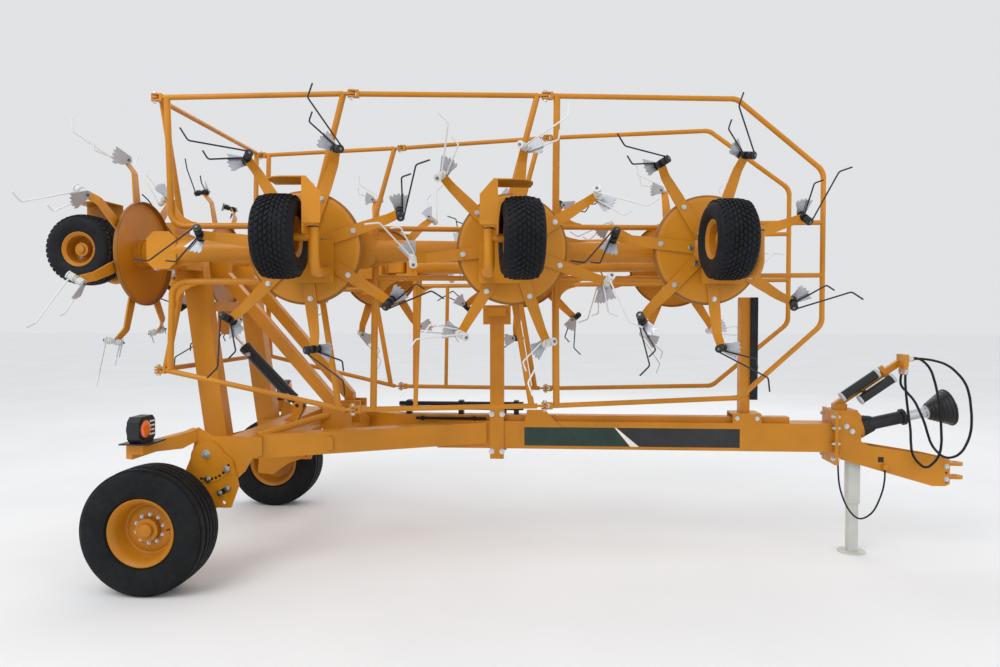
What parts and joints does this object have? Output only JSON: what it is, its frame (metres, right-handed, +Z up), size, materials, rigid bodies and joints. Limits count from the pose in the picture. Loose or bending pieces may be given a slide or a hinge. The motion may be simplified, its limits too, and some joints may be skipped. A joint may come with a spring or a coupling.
{
  "type": "trailed hay tedder",
  "caption": "Trailed hay tedder folded for transport: wishbone chassis on two road wheels, tilting centre section, hinged wings, tined rotors with gauge wheels.",
  "frame": {"origin": "on the ground under the middle of the overall box, on the machine's centre plane", "axes": "+X forward to the drawbar, +Y to the machine's left, +Z up"},
  "size_m": [6.3074, 3.316, 3.171],
  "materials": {
    "yellow_paint": "semi-gloss yellow-orange machine enamel",
    "tyre_rubber": "dull black tyre",
    "black_plastic": "black moulded plastic",
    "black_rubber": "black rubber",
    "bare_steel": "zinc-grey steel",
    "jack_grey": "pale grey enamel",
    "black_paint": "gloss black enamel",
    "chrome_rod": "polished chrome",
    "amber_lens": "amber and red lens"
  },
  "bodies": {
    "chassis": {"chassis_frame": "yellow_paint", "axle_arms": "yellow_paint", "rest_posts": "yellow_paint", "rest_pad": "black_rubber", "hitch_frame": "yellow_paint", "hitch_clevis": "yellow_paint", "jack_tube": "jack_grey", "drive_guards": "black_plastic", "drive_shaft": "bare_steel", "hose_holder": "yellow_paint", "beam_hoses": "black_rubber", "manual_tubes": "black_plastic", "lamp_housings": "black_plastic", "lamp_lenses": "amber_lens", "hose_short": "black_rubber", "hose_long": "black_rubber", "hose_cable": "black_rubber"},
    "jack_leg": {"jack_leg": "jack_grey"},
    "right_road_wheel": {"right_rim": "yellow_paint", "right_tyre": "tyre_rubber"},
    "left_road_wheel": {"left_rim": "yellow_paint", "left_tyre": "tyre_rubber"},
    "tilt_frame": {"tilt_frame": "yellow_paint"},
    "cylinder_barrel": {"cylinder_barrel": "black_paint"},
    "cylinder_rod": {"cylinder_rod": "chrome_rod"},
    "right_inner_section": {"right_inner_section": "yellow_paint"},
    "right_middle_section": {"right_middle_section": "yellow_paint"},
    "right_outer_section": {"right_outer_section": "yellow_paint"},
    "left_inner_section": {"left_inner_section": "yellow_paint"},
    "left_middle_section": {"left_middle_section": "yellow_paint"},
    "left_outer_section": {"left_outer_section": "yellow_paint"},
    "rotor_right_1": {"rotor_right_1": "yellow_paint"},
    "wheel_right_1": {"wheel_right_1": "tyre_rubber"},
    "rotor_right_2": {"rotor_right_2": "yellow_paint"},
    "wheel_right_2": {"wheel_right_2": "tyre_rubber"},
    "rotor_right_3": {"rotor_right_3": "yellow_paint"},
    "wheel_right_3": {"wheel_right_3": "tyre_rubber"},
    "rotor_right_4": {"rotor_right_4": "yellow_paint"},
    "wheel_right_4": {"wheel_right_4": "tyre_rubber"},
    "rotor_left_1": {"rotor_left_1": "yellow_paint"},
    "wheel_left_1": {"wheel_left_1": "tyre_rubber"},
    "rotor_left_2": {"rotor_left_2": "yellow_paint"},
    "wheel_left_2": {"wheel_left_2": "tyre_rubber"},
    "rotor_left_3": {"rotor_left_3": "yellow_paint"},
    "wheel_left_3": {"wheel_left_3": "tyre_rubber"},
    "rotor_left_4": {"rotor_left_4": "yellow_paint"},
    "wheel_left_4": {"wheel_left_4": "tyre_rubber"}
  },
  "joints": [
    {"name": "right_road_wheel_spin", "type": "hinge", "parent": "chassis", "child": "right_road_wheel", "pos_m": [-2.24625, -1.08, 0.392], "axis": [0, 1, 0], "continuous": true},
    {"name": "left_road_wheel_spin", "type": "hinge", "parent": "chassis", "child": "left_road_wheel", "pos_m": [-2.24625, 1.08, 0.392], "axis": [0, 1, 0], "continuous": true},
    {"name": "jack_slide", "type": "slide", "parent": "chassis", "child": "jack_leg", "axis": [0, 0, 1], "range_m": [0, 0.3]},
    {"name": "frame_tilt", "type": "hinge", "parent": "chassis", "child": "tilt_frame", "pos_m": [-2.07625, 0, 0.8], "axis": [0, -1, 0], "range_deg": [0, 78]},
    {"name": "cylinder_swing", "type": "hinge", "parent": "chassis", "child": "cylinder_barrel", "pos_m": [-1.67125, 0, 1.03], "axis": [0, -1, 0], "range_deg": [0, 60]},
    {"name": "rod_stroke", "type": "slide", "parent": "cylinder_barrel", "child": "cylinder_rod", "axis": [-0.6911, 0, 0.7228], "range_m": [0, 0.46]},
    {"name": "right_fold", "type": "hinge", "parent": "tilt_frame", "child": "right_inner_section", "pos_m": [-2.29625, -0.865, 2.12], "axis": [0, 0, -1], "range_deg": [0, 94]},
    {"name": "right_flex_1", "type": "hinge", "parent": "right_inner_section", "child": "right_middle_section", "pos_m": [-1.04929, -0.7778, 2.12], "axis": [0, 0, -1], "range_deg": [0, 10]},
    {"name": "right_flex_2", "type": "hinge", "parent": "right_middle_section", "child": "right_outer_section", "pos_m": [0.18532, -0.58226, 2.12], "axis": [0, 0, -1], "range_deg": [-7, 3]},
    {"name": "left_fold", "type": "hinge", "parent": "tilt_frame", "child": "left_inner_section", "pos_m": [-2.29625, 0.865, 2.12], "axis": [0, 0, 1], "range_deg": [0, 94]},
    {"name": "left_flex_1", "type": "hinge", "parent": "left_inner_section", "child": "left_middle_section", "pos_m": [-1.04929, 0.7778, 2.12], "axis": [0, 0, 1], "range_deg": [0, 10]},
    {"name": "left_flex_2", "type": "hinge", "parent": "left_middle_section", "child": "left_outer_section", "pos_m": [0.18532, 0.58226, 2.12], "axis": [0, 0, 1], "range_deg": [-7, 3]},
    {"name": "rotor_right_1_spin", "type": "hinge", "parent": "tilt_frame", "child": "rotor_right_1", "pos_m": [-2.53625, -0.625, 2.12], "axis": [-1, 0, 0], "continuous": true},
    {"name": "wheel_right_1_spin", "type": "hinge", "parent": "tilt_frame", "child": "wheel_right_1", "pos_m": [-2.91625, -0.625, 2.148], "axis": [0, -1, 0], "continuous": true},
    {"name": "rotor_right_2_spin", "type": "hinge", "parent": "right_inner_section", "child": "rotor_right_2", "pos_m": [-1.27197, -1.03396, 2.12], "axis": [0.0698, -0.9976, 0], "continuous": true},
    {"name": "wheel_right_2_spin", "type": "hinge", "parent": "right_inner_section", "child": "wheel_right_2", "pos_m": [-1.24546, -1.41304, 2.148], "axis": [0.9976, 0.0698, 0], "continuous": true},
    {"name": "rotor_right_3_spin", "type": "hinge", "parent": "right_middle_section", "child": "rotor_right_3", "pos_m": [-0.01419, -0.85685, 2.12], "axis": [0.1564, -0.9877, 0], "continuous": true},
    {"name": "wheel_right_3_spin", "type": "hinge", "parent": "right_middle_section", "child": "wheel_right_3", "pos_m": [0.04526, -1.23217, 2.148], "axis": [0.9877, 0.1564, 0], "continuous": true},
    {"name": "rotor_right_4_spin", "type": "hinge", "parent": "right_outer_section", "child": "rotor_right_4", "pos_m": [1.21704, -0.69738, 2.12], "axis": [0.1219, -0.9925, 0], "continuous": true},
    {"name": "wheel_right_4_spin", "type": "hinge", "parent": "right_outer_section", "child": "wheel_right_4", "pos_m": [1.26335, -1.07455, 2.148], "axis": [0.9925, 0.1219, 0], "continuous": true},
    {"name": "rotor_left_1_spin", "type": "hinge", "parent": "tilt_frame", "child": "rotor_left_1", "pos_m": [-2.53625, 0.625, 2.12], "axis": [-1, 0, 0], "continuous": true},
    {"name": "wheel_left_1_spin", "type": "hinge", "parent": "tilt_frame", "child": "wheel_left_1", "pos_m": [-2.91625, 0.625, 2.148], "axis": [0, 1, 0], "continuous": true},
    {"name": "rotor_left_2_spin", "type": "hinge", "parent": "left_inner_section", "child": "rotor_left_2", "pos_m": [-1.27197, 1.03396, 2.12], "axis": [0.0698, 0.9976, 0], "continuous": true},
    {"name": "wheel_left_2_spin", "type": "hinge", "parent": "left_inner_section", "child": "wheel_left_2", "pos_m": [-1.24546, 1.41304, 2.148], "axis": [0.9976, -0.0698, 0], "continuous": true},
    {"name": "rotor_left_3_spin", "type": "hinge", "parent": "left_middle_section", "child": "rotor_left_3", "pos_m": [-0.01419, 0.85685, 2.12], "axis": [0.1564, 0.9877, 0], "continuous": true},
    {"name": "wheel_left_3_spin", "type": "hinge", "parent": "left_middle_section", "child": "wheel_left_3", "pos_m": [0.04526, 1.23217, 2.148], "axis": [0.9877, -0.1564, 0], "continuous": true},
    {"name": "rotor_left_4_spin", "type": "hinge", "parent": "left_outer_section", "child": "rotor_left_4", "pos_m": [1.21704, 0.69738, 2.12], "axis": [0.1219, 0.9925, 0], "continuous": true},
    {"name": "wheel_left_4_spin", "type": "hinge", "parent": "left_outer_section", "child": "wheel_left_4", "pos_m": [1.26335, 1.07455, 2.148], "axis": [0.9925, -0.1219, 0], "continuous": true}
  ],
  "couplings": [
    {"joint": "cylinder_swing", "follows": "frame_tilt", "ratio": 0.7134},
    {"joint": "rod_stroke", "follows": "frame_tilt", "m_per_rad": 0.3265},
    {"joint": "rotor_right_2_spin", "follows": "rotor_right_1_spin", "ratio": -1},
    {"joint": "rotor_right_3_spin", "follows": "rotor_right_1_spin", "ratio": 1},
    {"joint": "rotor_right_4_spin", "follows": "rotor_right_1_spin", "ratio": -1},
    {"joint": "rotor_left_1_spin", "follows": "rotor_right_1_spin", "ratio": -1},
    {"joint": "rotor_left_2_spin", "follows": "rotor_right_1_spin", "ratio": 1},
    {"joint": "rotor_left_3_spin", "follows": "rotor_right_1_spin", "ratio": -1},
    {"joint": "rotor_left_4_spin", "follows": "rotor_right_1_spin", "ratio": 1}
  ]
}
